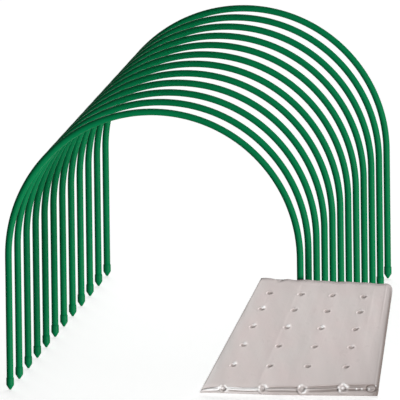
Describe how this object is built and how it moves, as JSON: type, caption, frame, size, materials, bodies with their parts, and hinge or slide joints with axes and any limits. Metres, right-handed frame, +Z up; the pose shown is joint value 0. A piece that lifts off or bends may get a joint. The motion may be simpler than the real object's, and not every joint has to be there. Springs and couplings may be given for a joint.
{
  "type": "row cover tunnel",
  "caption": "Row of round-topped plastic-coated steel hoops with pointed tips for a garden row cover, with its folded perforated film leaning on the first hoop.",
  "frame": {"origin": "on the ground at the centre of the row of hoops, level with their points", "axes": "+X to the right as seen from the front, +Y along the row towards the back, +Z up"},
  "size_m": [0.6517, 1.2563, 0.4759],
  "materials": {
    "steel_tube": "thin galvanised steel, hidden in the coating",
    "coating": "smooth extruded green coating, semi-gloss",
    "tip": "moulded green plastic, satin",
    "film": "many layers of clear perforated film, milky when folded"
  },
  "bodies": {
    "hoop_01": {"hoop_01_steel_tube": "steel_tube", "hoop_01_coating": "coating", "hoop_01_left_tip": "tip", "hoop_01_right_tip": "tip"},
    "hoop_02": {"hoop_02_steel_tube": "steel_tube", "hoop_02_coating": "coating", "hoop_02_left_tip": "tip", "hoop_02_right_tip": "tip"},
    "hoop_03": {"hoop_03_steel_tube": "steel_tube", "hoop_03_coating": "coating", "hoop_03_left_tip": "tip", "hoop_03_right_tip": "tip"},
    "hoop_04": {"hoop_04_steel_tube": "steel_tube", "hoop_04_coating": "coating", "hoop_04_left_tip": "tip", "hoop_04_right_tip": "tip"},
    "hoop_05": {"hoop_05_steel_tube": "steel_tube", "hoop_05_coating": "coating", "hoop_05_left_tip": "tip", "hoop_05_right_tip": "tip"},
    "hoop_06": {"hoop_06_steel_tube": "steel_tube", "hoop_06_coating": "coating", "hoop_06_left_tip": "tip", "hoop_06_right_tip": "tip"},
    "hoop_07": {"hoop_07_steel_tube": "steel_tube", "hoop_07_coating": "coating", "hoop_07_left_tip": "tip", "hoop_07_right_tip": "tip"},
    "hoop_08": {"hoop_08_steel_tube": "steel_tube", "hoop_08_coating": "coating", "hoop_08_left_tip": "tip", "hoop_08_right_tip": "tip"},
    "hoop_09": {"hoop_09_steel_tube": "steel_tube", "hoop_09_coating": "coating", "hoop_09_left_tip": "tip", "hoop_09_right_tip": "tip"},
    "hoop_10": {"hoop_10_steel_tube": "steel_tube", "hoop_10_coating": "coating", "hoop_10_left_tip": "tip", "hoop_10_right_tip": "tip"},
    "hoop_11": {"hoop_11_steel_tube": "steel_tube", "hoop_11_coating": "coating", "hoop_11_left_tip": "tip", "hoop_11_right_tip": "tip"},
    "hoop_12": {"hoop_12_steel_tube": "steel_tube", "hoop_12_coating": "coating", "hoop_12_left_tip": "tip", "hoop_12_right_tip": "tip"},
    "folded_film": {"cover_film": "film"}
  },
  "joints": [
    {"name": "hoop_02_lift", "type": "slide", "parent": "hoop_01", "child": "hoop_02", "axis": [0, 0, 1], "range_m": [0, 0.5]},
    {"name": "hoop_03_lift", "type": "slide", "parent": "hoop_01", "child": "hoop_03", "axis": [0, 0, 1], "range_m": [0, 0.5]},
    {"name": "hoop_04_lift", "type": "slide", "parent": "hoop_01", "child": "hoop_04", "axis": [0, 0, 1], "range_m": [0, 0.5]},
    {"name": "hoop_05_lift", "type": "slide", "parent": "hoop_01", "child": "hoop_05", "axis": [0, 0, 1], "range_m": [0, 0.5]},
    {"name": "hoop_06_lift", "type": "slide", "parent": "hoop_01", "child": "hoop_06", "axis": [0, 0, 1], "range_m": [0, 0.5]},
    {"name": "hoop_07_lift", "type": "slide", "parent": "hoop_01", "child": "hoop_07", "axis": [0, 0, 1], "range_m": [0, 0.5]},
    {"name": "hoop_08_lift", "type": "slide", "parent": "hoop_01", "child": "hoop_08", "axis": [0, 0, 1], "range_m": [0, 0.5]},
    {"name": "hoop_09_lift", "type": "slide", "parent": "hoop_01", "child": "hoop_09", "axis": [0, 0, 1], "range_m": [0, 0.5]},
    {"name": "hoop_10_lift", "type": "slide", "parent": "hoop_01", "child": "hoop_10", "axis": [0, 0, 1], "range_m": [0, 0.5]},
    {"name": "hoop_11_lift", "type": "slide", "parent": "hoop_01", "child": "hoop_11", "axis": [0, 0, 1], "range_m": [0, 0.5]},
    {"name": "hoop_12_lift", "type": "slide", "parent": "hoop_01", "child": "hoop_12", "axis": [0, 0, 1], "range_m": [0, 0.5]},
    {"name": "film_lift", "type": "slide", "parent": "hoop_01", "child": "folded_film", "axis": [0, -0.5, 0.866], "range_m": [0, 0.3]}
  ]
}
